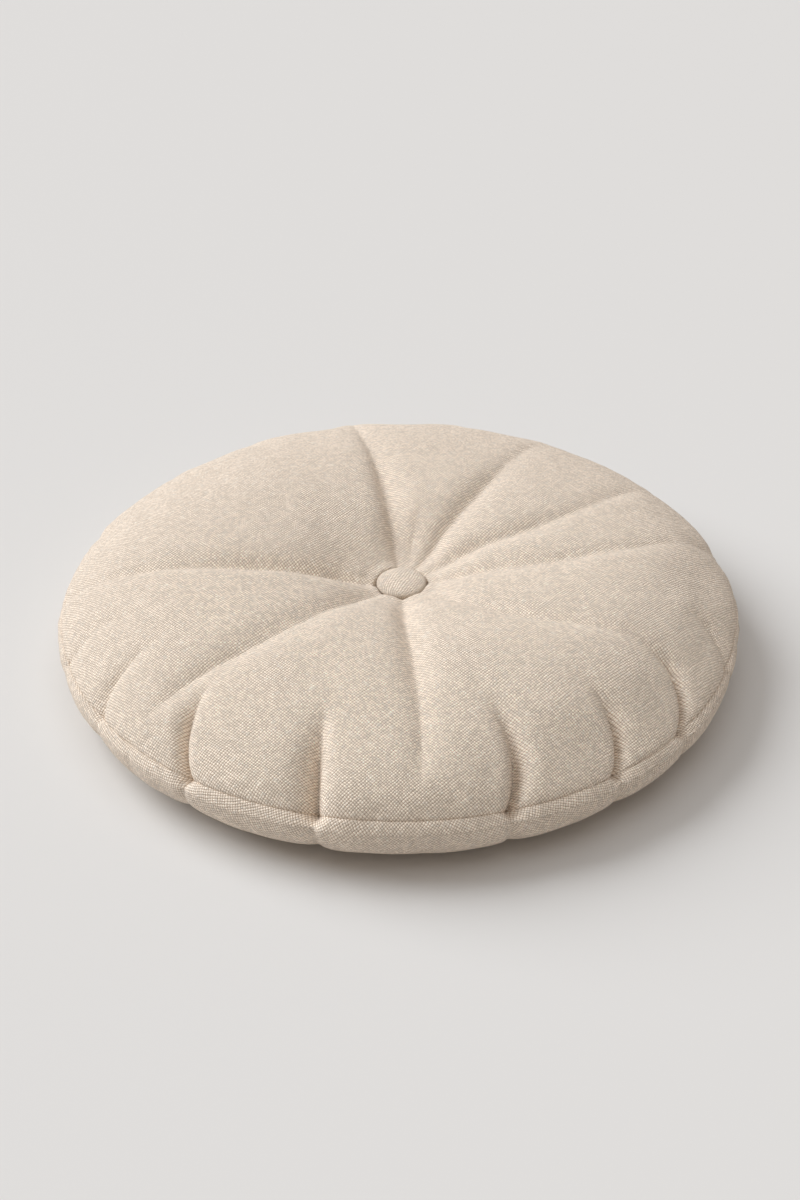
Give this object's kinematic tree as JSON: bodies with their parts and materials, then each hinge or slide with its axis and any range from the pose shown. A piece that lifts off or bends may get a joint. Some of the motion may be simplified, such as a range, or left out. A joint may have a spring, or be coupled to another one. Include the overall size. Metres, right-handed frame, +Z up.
{
  "type": "round zabuton floor cushion with a covered button",
  "caption": "Round filled floor cushion in natural woven cloth, crowned, seamed round its side and drawn in at the middle by a covered button, with radiating folds and pinched edges.",
  "frame": {"origin": "on the surface that the cushion lies on, under the centre of its box", "axes": "+Z up through the button, -Y towards the viewer of the picture, +X to the right"},
  "size_m": [0.5178, 0.5186, 0.0873],
  "materials": {
    "cover_cloth": "undyed slubby plain weave, matt, oatmeal beige with paler flecks",
    "button_cloth": "the cover's cloth stretched over a button, matt, oatmeal beige"
  },
  "bodies": {
    "root": {"cushion": "cover_cloth", "button": "button_cloth"}
  },
  "joints": []
}
